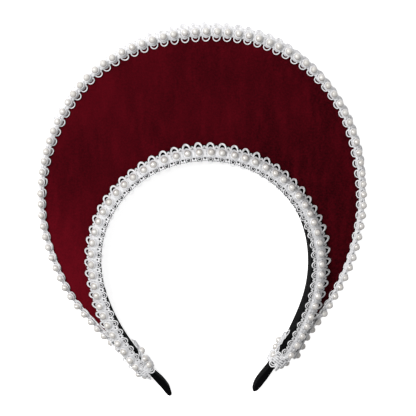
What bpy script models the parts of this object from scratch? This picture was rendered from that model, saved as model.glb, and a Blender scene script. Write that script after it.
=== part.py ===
# Crown headband: a padded velvet crescent that stands up from a narrow horseshoe hair band,
# edged twice with a lace braid that carries a row of pearls.
# The crown lies on its back: +Z is its front, +Y its top and +X the right-hand side of its front.
# The tables are in millimetres and degrees, and mm turns them into metres.

from math import atan2, ceil, cos, degrees, hypot, radians, sin

import bpy
import bmesh
import numpy as np
from mathutils import Matrix, Vector

mm = 0.001

# Driving dimensions
PEARL_DIAMETER = 4.5
FRONT_PEARLS = 53           # one to each scallop of the braid
RIM_PEARLS = 85
FRONT_PEARL_LIFT = 1.1      # pearl's centre above the ridge of the braid
RIM_PEARL_LIFT = 0.9        # less on the rim, where the ridge is sharper
PEARL_SIDES = 10
PEARL_RINGS = (45, -62)     # latitudes of the bead's upper ring, and of the one that the braid swallows
SCALLOP_DEPTH = 1.5
BRAID_REACH = 7.5           # from the ridge of the braid to the tip of a scallop
BOARD_THICKNESS = 6.0
BOARD_CROWN = 0.9           # how far the padding rises in the middle
FULL_CROWN_WIDTH = 60.0     # where the board is this wide
BAND_DEPTH = 16.0
BAND_WALL = 3.0
BAND_MIDDLE = BAND_DEPTH / 2    # height of the band's middle, where its tips lie
GAP = 0.3                   # between pieces that touch
OPENING_CENTRE = (0.15, -28.25)   # from the middle of the crown's footprint

# Middle line of the band, seen from the front. An angle is measured from the crown's top,
# positive to the right, and a radius from the middle of the opening.
# foot is 1 where the padded bevel under the front braid is whole, and 0 where the leg is bare.
ANGLE, RADIUS, DEPTH, THICKNESS, FOOT = range(5)
BAND_ROWS = [
    # angle, radius, depth, thickness, foot
    (-166.6, 87.9, 3.6, 1.6, 0),
    (-166.0, 86.9, 6.4, 2.9, 0),
    (-164.4, 84.2, 8.8, 3.7, 0),
    (-160.5, 80.2, 9.6, 3.8, 0),
    (-156.2, 77.4, 10.0, 3.2, 0),
    (-150.2, 73.9, 10.8, BAND_WALL, 0),
    (-145.5, 71.6, 12.6, BAND_WALL, 1),
    (-134.0, 67.6, 15.0, BAND_WALL, 1),
    (-122.0, 65.0, BAND_DEPTH, BAND_WALL, 1),
    (-105.0, 63.3, BAND_DEPTH, BAND_WALL, 1),
    (-90.0, 63.4, BAND_DEPTH, BAND_WALL, 1),
    (-72.0, 64.1, BAND_DEPTH, BAND_WALL, 1),
    (-45.0, 64.3, BAND_DEPTH, BAND_WALL, 1),
    (-20.0, 63.8, BAND_DEPTH, BAND_WALL, 1),
    (10.0, 63.6, BAND_DEPTH, BAND_WALL, 1),
    (38.0, 64.0, BAND_DEPTH, BAND_WALL, 1),
    (70.0, 65.0, BAND_DEPTH, BAND_WALL, 1),
    (95.0, 66.6, BAND_DEPTH, BAND_WALL, 1),
    (113.0, 68.8, BAND_DEPTH, BAND_WALL, 1),
    (125.0, 70.9, 15.0, BAND_WALL, 1),
    (136.0, 74.3, 12.6, BAND_WALL, 1),
    (142.2, 76.7, 10.8, BAND_WALL, 0),
    (148.8, 80.4, 10.0, 3.2, 0),
    (154.0, 83.9, 9.6, 3.8, 0),
    (157.4, 86.9, 8.8, 3.7, 0),
    (159.2, 89.3, 6.4, 2.9, 0),
    (159.8, 90.3, 3.6, 1.6, 0),
]

# Rim of the crescent's board
RIM_ROWS = [
    # angle, radius
    (-148.3, 76.7), (-140.5, 73.7), (-133.0, 73.9), (-126.0, 74.6), (-119.0, 75.8),
    (-105.0, 81.8), (-90.0, 87.8), (-75.0, 98.0), (-60.0, 108.7), (-45.0, 120.5),
    (-30.0, 130.3), (-15.0, 135.9), (0.0, 137.4), (15.0, 136.1), (30.0, 130.1),
    (45.0, 120.4), (60.0, 108.5), (75.0, 98.0), (90.0, 89.6), (105.0, 83.9),
    (117.0, 80.9), (126.0, 80.2), (133.0, 82.2), (140.1, 85.7),
]

# How the rim braid lies, from the end of the left leg over the crown's top to the right one: its
# front half lies on the face, and its back half stands out at the top and closes round the side
# further down. out is measured from the rim, up from the back of the crown.
RIM_LAY_ROWS = [
    # angle, face out, face up, ridge out, ridge up, side out, side up, keel up
    (-180, 0.4, 5.8, 1.9, 3.7, 1.4, 0.4, 3.7),
    (-130, 0.4, 5.8, 1.9, 3.7, 1.4, 0.4, 3.7),
    (-119, -0.4, 6.2, 1.8, 5.6, 1.7, 0.4, 5.0),
    (-104, -1.1, 6.3, 0.9, 7.0, 1.5, 0.4, 6.1),
    (-88, -0.2, 6.3, 2.0, 7.1, 2.8, 0.5, 6.2),
    (-70, -1.0, 6.3, 1.3, 7.2, 2.3, 0.5, 6.2),
    (-58, -1.6, 6.3, 1.9, 7.3, 3.0, 0.7, 6.2),
    (-43, -3.0, 6.3, 1.2, 7.4, 3.6, 0.8, 6.2),
    (-30, -3.1, 6.3, 2.0, 7.5, 3.4, 1.1, 6.2),
    (-15, -4.8, 6.3, 0.9, 7.6, 3.8, 1.4, 6.2),
    (0, -4.9, 6.3, 1.1, 7.6, 5.0, 1.6, 6.2),
    (18, -3.6, 6.3, 1.4, 7.6, 5.0, 1.4, 6.2),
    (28, -2.4, 6.3, 1.8, 7.5, 3.9, 1.1, 6.2),
    (40, -2.2, 6.3, 1.1, 7.4, 3.5, 0.8, 6.2),
    (58, -3.1, 6.3, 1.3, 7.3, 4.2, 0.7, 6.2),
    (74, -1.6, 6.3, 2.0, 7.2, 3.8, 0.5, 6.2),
    (94, -0.9, 6.3, 2.1, 7.1, 2.9, 0.4, 6.2),
    (106, -1.7, 6.3, 1.3, 7.0, 2.0, 0.4, 6.1),
    (119, -0.8, 6.2, 1.8, 5.6, 1.8, 0.4, 5.0),
    (130, 0.4, 5.8, 1.6, 3.7, 1.2, 0.4, 3.7),
    (180, 0.4, 5.8, 1.6, 3.7, 1.2, 0.4, 3.7),
]

# How the front braid lies: how far out from the band's middle line its inner edge, its ridge and
# its outer edge stand, and their heights
FRONT_INNER_UP = 16.5
FRONT_RIDGE_UP = 13.6
FRONT_OUTER_UP = 6.5
FRONT_LAY_ROWS = [
    # angle, inner out, ridge out, outer out
    (-180, -1.5, 4.1, 8.9), (-125, -1.5, 4.0, 8.8), (-102, -1.6, 3.6, 8.4),
    (-75, -1.8, 4.0, 7.4), (-35, -1.9, 3.1, 7.1), (-8, -1.9, 3.2, 7.9),
    (15, -1.9, 3.3, 8.3), (48, -1.9, 3.9, 9.1), (66, -1.6, 4.1, 10.3),
    (78, -1.2, 4.2, 11.6), (95, -1.2, 4.1, 11.2), (112, -1.4, 4.0, 10.3),
    (135, -1.6, 4.1, 8.9), (180, -1.6, 4.1, 8.9),
]

# The braids were eased along in the sewing: how many cells further on than even ones a cell lies
FRONT_EASE = [
    # cell, shift
    (0, 0), (1.5, -0.25), (10.5, -0.33), (17.5, -0.43), (23.5, -0.2), (29.5, 0.08), (37.5, 0.12),
    (40.5, -0.12), (46.5, -0.13), (52.5, 0),
]
RIM_EASE = [
    # cell, shift
    (0, 0), (4.5, -0.27), (6.5, -0.35), (12.5, -0.05), (20.5, 0.3), (28.5, 0.15), (34.5, -0.07),
    (46.5, -0.15), (54.5, -0.34), (60.5, -0.3), (69.5, -0.15), (78.5, 0.07), (85, 0),
]
NO_EASE = [(0, 0)]

# The wrap at each end: how far it reaches outwards over the leg, from its top end downwards
WRAP_ROWS = [
    # along, reach
    (0.0, 7.2), (3.5, 6.6), (7.0, 4.6), (9.5, 3.6),
]
WRAP_WALL = 1.4
WRAP_SLANT = {-1: 5.9, 1: 2.8}      # how much shorter its inner side is, on the left and the right leg
WRAP_LOW = 1.5              # height of the wrap's lower edge
WRAP_PEARLS = [
    # along, out, up
    (4.0, 7.2, 8.0), (7.6, 5.0, 8.5),
]
TONGUE_PITCH = 4.8          # three pearls that touch
TONGUE_CELLS = 4            # the top one carries no pearl
TONGUE_TOP = -14.2          # along the leg, from the wrap's top end

BAND_STEP = 13.0            # longest straight stretch of the band's skin
BOARD_STATIONS = 36


def clear_scene():
    for item in list(bpy.data.objects):
        bpy.data.objects.remove(item)


def new_collection(name):
    collection = bpy.data.collections.new(name)
    bpy.context.scene.collection.children.link(collection)
    return collection


def material(name, colour, roughness):
    finish = bpy.data.materials.new(name)
    finish.use_nodes = True
    shader = finish.node_tree.nodes["Principled BSDF"]
    shader.inputs["Base Color"].default_value = (*colour, 1)
    shader.inputs["Roughness"].default_value = roughness
    shader.inputs["Metallic"].default_value = 0
    return finish


def mesh_object(name, builder, collection):
    bmesh.ops.recalc_face_normals(builder, faces=builder.faces)
    mesh = bpy.data.meshes.new(name)
    builder.to_mesh(mesh)
    builder.free()
    piece = bpy.data.objects.new(name, mesh)
    collection.objects.link(piece)
    return piece


# A smooth curve through flat points, with its length run off along it
class Path:
    def __init__(self, points, samples=900):
        points = np.array(points, dtype=float)
        steps = np.hypot(*np.diff(points, axis=0).T)
        self.knots = np.concatenate([[0], np.cumsum(steps)])
        spread = np.linspace(0, self.knots[-1], samples)
        self.points = np.stack([natural_spline(self.knots, column, spread) for column in points.T], 1)
        steps = np.hypot(*np.diff(self.points, axis=0).T)
        self.run = np.concatenate([[0], np.cumsum(steps)])
        self.length = self.run[-1]
        self.rows_at = np.interp(self.knots, spread, self.run)

    # The point at a distance along the path, and the direction that points away from the opening
    def at(self, distance):
        place = np.array([np.interp(distance, self.run, column) for column in self.points.T])
        step = 0.5
        before = [np.interp(distance - step, self.run, column) for column in self.points.T]
        after = [np.interp(distance + step, self.run, column) for column in self.points.T]
        along = Vector((after[0] - before[0], after[1] - before[1])).normalized()
        return Vector(place), Vector((-along.y, along.x)), along


def natural_spline(knots, values, wanted):
    gaps = np.diff(knots)
    slopes = np.diff(values) / gaps
    count = len(knots)
    system = np.eye(count)
    right = np.zeros(count)
    for i in range(1, count - 1):
        system[i, i - 1:i + 2] = gaps[i - 1], 2 * (gaps[i - 1] + gaps[i]), gaps[i]
        right[i] = 6 * (slopes[i] - slopes[i - 1])
    bends = np.linalg.solve(system, right)
    spot = np.clip(np.searchsorted(knots, wanted) - 1, 0, count - 2)
    gap = gaps[spot]
    before = (wanted - knots[spot]) / gap
    after = 1 - before
    curve = (after ** 3 - after) * bends[spot] + (before ** 3 - before) * bends[spot + 1]
    return after * values[spot] + before * values[spot + 1] + curve * gap ** 2 / 6


def polar(angle, radius):
    return radius * sin(radians(angle)), radius * cos(radians(angle))


def angle_of(point):
    return degrees(atan2(point[0], point[1]))


# A point in space from a place on a path and (out, up) across it
def across(place, outward, out, up):
    return Vector((place.x + out * outward.x, place.y + out * outward.y, up)) * mm


# A closed skin through rings that have the same number of points
def loft(name, rings, collection):
    builder = bmesh.new()
    rows = [[builder.verts.new(point) for point in ring] for ring in rings]
    for row, after in zip(rows, rows[1:]):
        for i in range(len(row)):
            j = (i + 1) % len(row)
            builder.faces.new((row[i], row[j], after[j], after[i]))
    builder.faces.new(rows[0])
    builder.faces.new(rows[-1])
    return mesh_object(name, builder, collection)


band_path = Path([polar(row[ANGLE], row[RADIUS]) for row in BAND_ROWS])
rim_path = Path([polar(row[ANGLE], row[RADIUS]) for row in RIM_ROWS])


def band_value(column, distance):
    return float(np.interp(distance, band_path.rows_at, [row[column] for row in BAND_ROWS]))


# The values of a table at an angle, its first column
def lay_row(rows, angle):
    angles, *columns = zip(*rows)
    return [float(np.interp(angle, angles, column)) for column in columns]


# Where a leg's front braid ends and its wrap begins, as a distance along the band
LEFT_WRAP_TOP = float(band_path.rows_at[5])
RIGHT_WRAP_TOP = float(band_path.rows_at[-6])


# How far out the front braid's inner edge, ridge and outer edge stand
def front_outs(distance):
    return lay_row(FRONT_LAY_ROWS, angle_of(band_path.at(distance)[0]))


# Height of the front braid's flat underside, between its inner and its outer edge
def front_underside(out, inner_out, outer_out):
    share = (out - inner_out) / (outer_out - inner_out)
    return FRONT_INNER_UP + share * (FRONT_OUTER_UP - FRONT_INNER_UP)


def band_ring(distance):
    place, outward, _ = band_path.at(distance)
    depth, thick, foot = (band_value(column, distance) for column in (DEPTH, THICKNESS, FOOT))
    half = thick / 2
    low = BAND_MIDDLE - depth / 2
    high = BAND_MIDDLE + depth / 2
    nose = min(0.08 * depth, 0.25 * thick)
    bare = [(-half / 2, low), (-half, low + nose), (-half, high - nose), (-half / 2, high),
            (half / 2, high), (half, high - nose), (half, low + nose), (half / 2, low)]
    inner_out, _, outer_out = front_outs(distance)
    bevel_out = outer_out - 1.1
    slack = GAP * 1.4       # the gap, measured straight up from a slope of about 45 degrees
    foot_low = BOARD_THICKNESS + GAP
    padded = [(-half / 2, low), (-half, low + nose),
              (-half, front_underside(-half, inner_out, outer_out) - slack - 0.4),
              (-half * 0.7, front_underside(-half * 0.7, inner_out, outer_out) - slack),
              (bevel_out, front_underside(bevel_out, inner_out, outer_out) - slack),
              (bevel_out, foot_low),
              (half, foot_low), (half, low)]
    points = [(a[0] + foot * (b[0] - a[0]), a[1] + foot * (b[1] - a[1])) for a, b in zip(bare, padded)]
    return [across(place, outward, out, up) for out, up in points]


def make_headband(parts):
    stations = [0.0]
    for start, end in zip(band_path.rows_at, band_path.rows_at[1:]):
        steps = ceil((end - start) / BAND_STEP)
        stations += [start + (end - start) * (i + 1) / steps for i in range(steps)]
    return loft("headband", [band_ring(distance) for distance in stations], parts)


# The crescent's board, cut across along a ray from the middle of the opening
def board_ring(angle, inner_line):
    inner = np.interp(angle, [angle_of(point) for point in inner_line],
                      [hypot(*point) for point in inner_line])
    rim_angles = [angle_of(point) for point in rim_path.points]
    rim = np.interp(angle, rim_angles, np.hypot(*rim_path.points.T))
    width = rim - inner
    shoulder = min(2.0, 0.35 * width)
    crown = BOARD_CROWN * min(1, width / FULL_CROWN_WIDTH)
    top = BOARD_THICKNESS - 0.2
    ring = [(inner, 0), (inner, top - 0.1), (inner + width / 2, top + crown), (rim - shoulder, top),
            (rim, top - 1.8), (rim, 1.5), (rim - 0.7 * shoulder, 0)]
    heading = Vector(polar(angle, 1))
    return [Vector((heading.x * radius, heading.y * radius, up)) * mm for radius, up in ring]


def make_velvet_crescent(parts):
    clear = BAND_WALL / 2 + GAP + 0.05
    inner_line = []
    for distance in np.linspace(0, band_path.length, 300):
        place, outward, _ = band_path.at(distance)
        inner_line.append(place + clear * outward)
    left_tip = angle_of(rim_path.at(0.6)[0])
    right_tip = angle_of(rim_path.at(rim_path.length - 0.6)[0])
    angles = np.linspace(left_tip, right_tip, BOARD_STATIONS)
    return loft("velvet_crescent", [board_ring(angle, inner_line) for angle in angles], parts)


# Distance along a path after a count of a braid's cells
def cell_place(start, pitch, ease, count):
    cells, shifts = zip(*ease)
    return start + (count + float(np.interp(count, cells, shifts))) * pitch


# One braid with its pearls. lay_at gives, for a distance along the path and a reach of 1 at the tip
# of a scallop or less in the valley, the section's (out, up) points: edge, ridge, other edge, keel.
def make_braid(name, path, start, cells, pitch, ease, lay_at, lift, parts, guides, bare_cells=()):
    builder = bmesh.new()
    pearls = bmesh.new()
    valley = 1 - SCALLOP_DEPTH / BRAID_REACH
    rows = []
    tips = []
    for i in range(cells + 1):
        border = cell_place(start, pitch, ease, i)
        place, outward, _ = path.at(border)
        rows.append([builder.verts.new(across(place, outward, *point)) for point in lay_at(border, valley)])
    for i in range(cells):
        middle = cell_place(start, pitch, ease, i + 0.5)
        place, outward, along = path.at(middle)
        edge, ridge, other, _ = lay_at(middle, 1)
        tips.append([builder.verts.new(across(place, outward, *point)) for point in (edge, other)])
        if i not in bare_cells:
            add_pearl(pearls, place, outward, along, lift, edge, ridge, other)
    for (edge, ridge, other, keel), (tip, other_tip), after in zip(rows, tips, rows[1:]):
        next_edge, next_ridge, next_other, next_keel = after
        for near, point, far in ((edge, tip, next_edge), (next_other, other_tip, other)):
            first, last = (ridge, next_ridge) if near is edge else (next_ridge, ridge)
            low, high = (keel, next_keel) if near is edge else (next_keel, keel)
            builder.faces.new((near, point, first))
            builder.faces.new((first, point, last))
            builder.faces.new((last, point, far))
            builder.faces.new((point, near, low))
            builder.faces.new((point, low, high))
            builder.faces.new((point, high, far))
    builder.faces.new(rows[0])
    builder.faces.new(rows[-1])
    braid = mesh_object(name, builder, parts)
    fuse(braid, mesh_object(name + "_pearls", pearls, guides))
    return braid


# A pearl stands on the ridge, square to the two slopes beside it
def add_pearl(builder, place, outward, along, lift, edge, ridge, other):
    rise = Vector((edge[1] - ridge[1], ridge[0] - edge[0])).normalized()
    fall = Vector((ridge[1] - other[1], other[0] - ridge[0])).normalized()
    lean = (rise + fall).normalized()
    normal = Vector((lean.x * outward.x, lean.x * outward.y, lean.y))
    centre = across(place, outward, *ridge) + lift * mm * normal
    place_pearl(builder, centre, normal, Vector((along.x, along.y, 0)))


# A round bead with its full number of sides round the middle and half as many above and below
def place_pearl(builder, centre, normal, along):
    radius = PEARL_DIAMETER / 2 * mm
    side = normal.cross(along).normalized()
    turn = Matrix((along, side, normal)).transposed().to_4x4()
    ball = bmesh.ops.create_uvsphere(builder, u_segments=PEARL_SIDES, v_segments=4,
                                     radius=radius)["verts"]
    merged = {}
    for latitude in PEARL_RINGS:
        level = sin(radians(latitude)) * radius
        ring = [vert for vert in ball if 0.2 < vert.co.z / level < 1.2 and vert.co.xy.length > radius / 3]
        ring.sort(key=lambda vert: atan2(vert.co.y, vert.co.x))
        for gone, kept in zip(ring[::2], ring[1::2]):
            heading = (gone.co.xy + kept.co.xy).normalized() * cos(radians(latitude)) * radius
            kept.co = (*heading, level)
            merged[gone] = kept
    bmesh.ops.weld_verts(builder, targetmap=merged)
    ball = [vert for vert in ball if vert.is_valid]
    bmesh.ops.transform(builder, matrix=Matrix.Translation(centre) @ turn, verts=ball)


def fuse(piece, other):
    join = piece.modifiers.new("fuse " + other.name, "BOOLEAN")
    join.operation = "UNION"
    join.solver = "EXACT"
    join.object = other
    other.hide_render = True
    other.display_type = "WIRE"


def front_lay(distance, reach):
    inner_out, ridge_out, outer_out = front_outs(distance)
    inner, ridge, outer = ((inner_out, FRONT_INNER_UP), (ridge_out, FRONT_RIDGE_UP),
                           (outer_out, FRONT_OUTER_UP))
    edge = [ridge[k] + reach * (inner[k] - ridge[k]) for k in (0, 1)]
    other = [ridge[k] + reach * (outer[k] - ridge[k]) for k in (0, 1)]
    edge[1] = max(edge[1], front_underside(edge[0], inner_out, outer_out))
    other[1] = max(other[1], front_underside(other[0], inner_out, outer_out))
    keel_out = ridge_out - 0.5
    return edge, ridge, other, (keel_out, front_underside(keel_out, inner_out, outer_out))


def make_front_trim(parts, guides):
    start = LEFT_WRAP_TOP + GAP
    length = RIGHT_WRAP_TOP - GAP - start
    return make_braid("front_pearl_trim", band_path, start, FRONT_PEARLS, length / FRONT_PEARLS,
                      FRONT_EASE, front_lay, FRONT_PEARL_LIFT, parts, guides)


def rim_trim_lay(distance, reach):
    lay = lay_row(RIM_LAY_ROWS, angle_of(rim_path.at(distance)[0]))
    face_out, face_up, ridge_out, ridge_up, side_out, side_up, keel_up = lay
    edge = (ridge_out + reach * (face_out - ridge_out), face_up)
    other = (ridge_out + reach * (side_out - ridge_out), ridge_up + reach * (side_up - ridge_up))
    return edge, (ridge_out, ridge_up), other, (GAP + 0.05, keel_up)


def make_rim_trim(parts, guides):
    return make_braid("rim_pearl_trim", rim_path, 0, RIM_PEARLS, rim_path.length / RIM_PEARLS,
                      RIM_EASE, rim_trim_lay, RIM_PEARL_LIFT, parts, guides)


# The cuff of the wrap goes over the leg's front and down both of its sides. Its inner side is
# shorter, so a ring is slanted, and more so the further down the leg it lies.
def cuff_ring(top, sign, along, reach):
    length = WRAP_ROWS[-1][0]
    distance = top + sign * along
    depth, thick = (band_value(column, distance) for column in (DEPTH, THICKNESS))
    near = thick / 2 + GAP * 1.6    # more, because the leg thickens towards its tip
    low = max(WRAP_LOW, BAND_MIDDLE - depth / 2)
    high = BAND_MIDDLE + depth / 2 + GAP
    ring = [(-near, low), (-near, high), (near, high), (near, low), (reach - 0.8, low),
            (reach, low + 3), (reach - 0.4, high - 3), (reach * 0.7, high + 0.6),
            (0, high + WRAP_WALL), (-near - WRAP_WALL, high - 0.8), (-near - WRAP_WALL, low)]
    points = []
    for out, up in ring:
        inward = max(0, near - out) / (2 * near + WRAP_WALL)
        place, outward, _ = band_path.at(distance - sign * WRAP_SLANT[sign] * inward * along / length)
        points.append(across(place, outward, out, up))
    return points


def tongue_lay(distance, reach):
    half = band_value(DEPTH, distance) / 2 - 0.5
    flat = band_value(THICKNESS, distance) / 2 + GAP * 2
    ridge = -flat - WRAP_WALL
    return ((-flat, BAND_MIDDLE - reach * half), (ridge, BAND_MIDDLE),
            (-flat, BAND_MIDDLE + reach * half), (-flat - 0.05, BAND_MIDDLE))


def make_wrap(name, top, sign, parts, guides):
    cuff = loft(name, [cuff_ring(top, sign, along + 2 * GAP, reach) for along, reach in WRAP_ROWS],
                parts)
    low_end = TONGUE_TOP + TONGUE_CELLS * TONGUE_PITCH
    start = top + (TONGUE_TOP if sign > 0 else -low_end)
    bare = (0,) if sign > 0 else (TONGUE_CELLS - 1,)
    tongue = make_braid(name + "_tongue", band_path, start, TONGUE_CELLS, TONGUE_PITCH, NO_EASE,
                        tongue_lay, FRONT_PEARL_LIFT, guides, guides, bare)
    fuse(cuff, tongue)
    pearls = bmesh.new()
    for along, out, up in WRAP_PEARLS:
        place, outward, heading = band_path.at(top + sign * along)
        place_pearl(pearls, across(place, outward, out, up), Vector((*outward, 0)),
                    Vector((*heading, 0)))
    fuse(cuff, mesh_object(name + "_pearls", pearls, guides))
    return cuff


def main():
    clear_scene()
    parts = new_collection("crown_headband")
    guides = new_collection("guides")
    fabric = material("black_band_fabric", (0.012, 0.012, 0.014), 0.9)
    velvet = material("dark_red_velvet", (0.11, 0.004, 0.01), 0.95)
    lace = material("pearls_on_white_lace", (0.83, 0.81, 0.79), 0.45)
    pieces = [
        (make_headband(parts), fabric),
        (make_velvet_crescent(parts), velvet),
        (make_front_trim(parts, guides), lace),
        (make_rim_trim(parts, guides), lace),
        (make_wrap("left_end_wrap", LEFT_WRAP_TOP, -1, parts, guides), lace),
        (make_wrap("right_end_wrap", RIGHT_WRAP_TOP, 1, parts, guides), lace),
    ]
    crown = bpy.data.objects.new("crown", None)
    parts.objects.link(crown)
    crown.location = (OPENING_CENTRE[0] * mm, OPENING_CENTRE[1] * mm, 0)
    for piece, finish in pieces:
        piece.data.materials.append(finish)
        piece.parent = crown
    for guide in guides.objects:
        guide.parent = crown


main()
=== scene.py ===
# Crown headband: the finish of a velvet crescent on a black hair band, edged twice with a looped
# lace braid that carries a row of pearls. Shapes are worked out in millimetres and stored in metres.
from math import pi

import bpy
import numpy as np
from mathutils import Matrix, Vector


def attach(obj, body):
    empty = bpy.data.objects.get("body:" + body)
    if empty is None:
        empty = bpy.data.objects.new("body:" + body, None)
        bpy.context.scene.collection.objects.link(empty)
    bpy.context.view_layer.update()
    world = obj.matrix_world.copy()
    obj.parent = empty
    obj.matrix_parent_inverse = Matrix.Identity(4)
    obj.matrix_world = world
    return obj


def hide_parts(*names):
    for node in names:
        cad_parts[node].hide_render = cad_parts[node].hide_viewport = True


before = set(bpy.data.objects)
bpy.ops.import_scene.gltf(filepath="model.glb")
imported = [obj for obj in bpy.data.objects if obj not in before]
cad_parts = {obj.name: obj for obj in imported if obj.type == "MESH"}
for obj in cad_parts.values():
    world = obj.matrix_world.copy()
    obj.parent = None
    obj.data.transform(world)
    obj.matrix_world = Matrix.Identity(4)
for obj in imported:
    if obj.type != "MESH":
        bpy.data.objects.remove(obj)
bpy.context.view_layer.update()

mm = 0.001
openingCentre = np.array([0.15, -28.25])    # middle of the head's opening, seen from the front
gap = 0.3                                   # between pieces that touch
lowestThread = 0.45                         # no thread's middle lies lower, so none goes into the floor

# Middle line of the band: an angle from the crown's top and a radius from the opening's middle
bandTable = {
    "angle": [-166.6, -166.0, -164.4, -160.5, -156.2, -150.2, -145.5, -134, -122, -105, -90, -72,
              -45, -20, 10, 38, 70, 95, 113, 125, 136, 142.2, 148.8, 154, 157.4, 159.2, 159.8],
    "radius": [87.9, 86.9, 84.2, 80.2, 77.4, 73.9, 71.6, 67.6, 65, 63.3, 63.4, 64.1,
               64.3, 63.8, 63.6, 64, 65, 66.6, 68.8, 70.9, 74.3, 76.7, 80.4, 83.9, 86.9, 89.3, 90.3],
    "depth": [3.6, 6.4, 8.8, 9.6, 10, 10.8, 12.6, 15, *[16] * 11, 15, 12.6, 10.8, 10, 9.6, 8.8, 6.4, 3.6],
    "thick": [1.6, 2.9, 3.7, 3.8, 3.2, *[3] * 17, 3.2, 3.8, 3.7, 2.9, 1.6],
}
bandMiddle = 8.0        # height of the band's middle above its back
leftWrapRow, rightWrapRow = 5, -6

# Rim of the crescent's board, the same way
rimTable = {
    "angle": [-148.3, -140.5, -133, -126, -119, -105, -90, -75, -60, -45, -30, -15, 0,
              15, 30, 45, 60, 75, 90, 105, 117, 126, 133, 140.1],
    "radius": [76.7, 73.7, 73.9, 74.6, 75.8, 81.8, 87.8, 98, 108.7, 120.5, 130.3, 135.9, 137.4,
               136.1, 130.1, 120.4, 108.5, 98, 89.6, 83.9, 80.9, 80.2, 82.2, 85.7],
}

# How the front braid lies, out from the band's middle line: its inner edge, its ridge and its outer edge
frontLay = {
    "angle": [-180, -125, -102, -75, -35, -8, 15, 48, 66, 78, 95, 112, 135, 180],
    "innerOut": [-1.5, -1.5, -1.6, -1.8, -1.9, -1.9, -1.9, -1.9, -1.6, -1.2, -1.2, -1.4, -1.6, -1.6],
    "ridgeOut": [4.1, 4.0, 3.6, 4.0, 3.1, 3.2, 3.3, 3.9, 4.1, 4.2, 4.1, 4.0, 4.1, 4.1],
    "outerOut": [8.9, 8.8, 8.4, 7.4, 7.1, 7.9, 8.3, 9.1, 10.3, 11.6, 11.2, 10.3, 8.9, 8.9],
}
frontUps = {"inner": 16.5, "ridge": 13.6, "outer": 6.5}

# How the rim braid lies, out from the rim: its edge on the face, its ridge and its edge at the side
rimLay = {
    "angle": [-180, -130, -119, -104, -88, -70, -58, -43, -30, -15, 0,
              18, 28, 40, 58, 74, 94, 106, 119, 130, 180],
    "faceOut": [0.4, 0.4, -0.4, -1.1, -0.2, -1.0, -1.6, -3.0, -3.1, -4.8, -4.9,
                -3.6, -2.4, -2.2, -3.1, -1.6, -0.9, -1.7, -0.8, 0.4, 0.4],
    "faceUp": [5.8, 5.8, 6.2, *[6.3] * 15, 6.2, 5.8, 5.8],
    "ridgeOut": [1.9, 1.9, 1.8, 0.9, 2.0, 1.3, 1.9, 1.2, 2.0, 0.9, 1.1,
                 1.4, 1.8, 1.1, 1.3, 2.0, 2.1, 1.3, 1.8, 1.6, 1.6],
    "ridgeUp": [3.7, 3.7, 5.6, 7.0, 7.1, 7.2, 7.3, 7.4, 7.5, 7.6, 7.6,
                7.6, 7.5, 7.4, 7.3, 7.2, 7.1, 7.0, 5.6, 3.7, 3.7],
    "sideOut": [1.4, 1.4, 1.7, 1.5, 2.8, 2.3, 3.0, 3.6, 3.4, 3.8, 5.0,
                5.0, 3.9, 3.5, 4.2, 3.8, 2.9, 2.0, 1.8, 1.2, 1.2],
    "sideUp": [0.4, 0.4, 0.4, 0.4, 0.5, 0.5, 0.7, 0.8, 1.1, 1.4, 1.6,
               1.4, 1.1, 0.8, 0.7, 0.5, 0.4, 0.4, 0.4, 0.4, 0.4],
}


def naturalSpline(knots, values, wanted):
    gaps = np.diff(knots)
    slopes = np.diff(values) / gaps
    count = len(knots)
    system = np.eye(count)
    right = np.zeros(count)
    for i in range(1, count - 1):
        system[i, i - 1:i + 2] = gaps[i - 1], 2 * (gaps[i - 1] + gaps[i]), gaps[i]
        right[i] = 6 * (slopes[i] - slopes[i - 1])
    bends = np.linalg.solve(system, right)
    spot = np.clip(np.searchsorted(knots, wanted) - 1, 0, count - 2)
    span = gaps[spot]
    before = (wanted - knots[spot]) / span
    after = 1 - before
    curve = (after ** 3 - after) * bends[spot] + (before ** 3 - before) * bends[spot + 1]
    return after * values[spot] + before * values[spot + 1] + curve * span ** 2 / 6


# The length run off at each point of a line
def runOff(points):
    return np.concatenate([[0], np.cumsum(np.hypot(*np.diff(points, axis=0).T))])


class FlatPath:
    # A smooth curve through a table's points, with its length run off along it
    def __init__(self, table, samples=2400):
        angle = np.radians(table["angle"])
        points = np.stack([np.sin(angle), np.cos(angle)], 1) * np.array(table["radius"])[:, None]
        knots = runOff(points)
        spread = np.linspace(0, knots[-1], samples)
        self.points = np.stack([naturalSpline(knots, column, spread) for column in points.T], 1)
        self.run = runOff(self.points)
        self.rowsAt = np.interp(knots, spread, self.run)
        self.length = self.run[-1]
        self.table = table

    def spot(self, distance):
        return np.stack([np.interp(distance, self.run, column) for column in self.points.T], -1)

    # Places along the path, and the directions away from the opening and along the path
    def at(self, distance):
        along = unit(self.spot(distance + 0.5) - self.spot(distance - 0.5))
        return self.spot(distance), np.stack([-along[..., 1], along[..., 0]], -1), along

    def value(self, name, distance):
        return np.interp(distance, self.rowsAt, self.table[name])


bandPath = FlatPath(bandTable)
rimPath = FlatPath(rimTable)
leftWrapTop = bandPath.rowsAt[leftWrapRow]
rightWrapTop = bandPath.rowsAt[rightWrapRow]


def unit(vectors):
    return vectors / np.maximum(np.linalg.norm(vectors, axis=-1, keepdims=True), 1e-9)


# The columns of a lay table at distances along a path
def layAt(path, lay, distance):
    place = path.spot(distance)
    angle = np.degrees(np.arctan2(place[..., 0], place[..., 1]))
    return {name: np.interp(angle, lay["angle"], lay[name]) for name in lay}


def frontSection(distance):
    lay = layAt(bandPath, frontLay, distance)
    return [np.stack([lay[part + "Out"], up + 0 * lay[part + "Out"]], -1) for part, up in frontUps.items()]


def rimSection(distance):
    lay = layAt(rimPath, rimLay, distance)
    return [np.stack([lay[part + "Out"], lay[part + "Up"]], -1) for part in ("face", "ridge", "side")]


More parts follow.
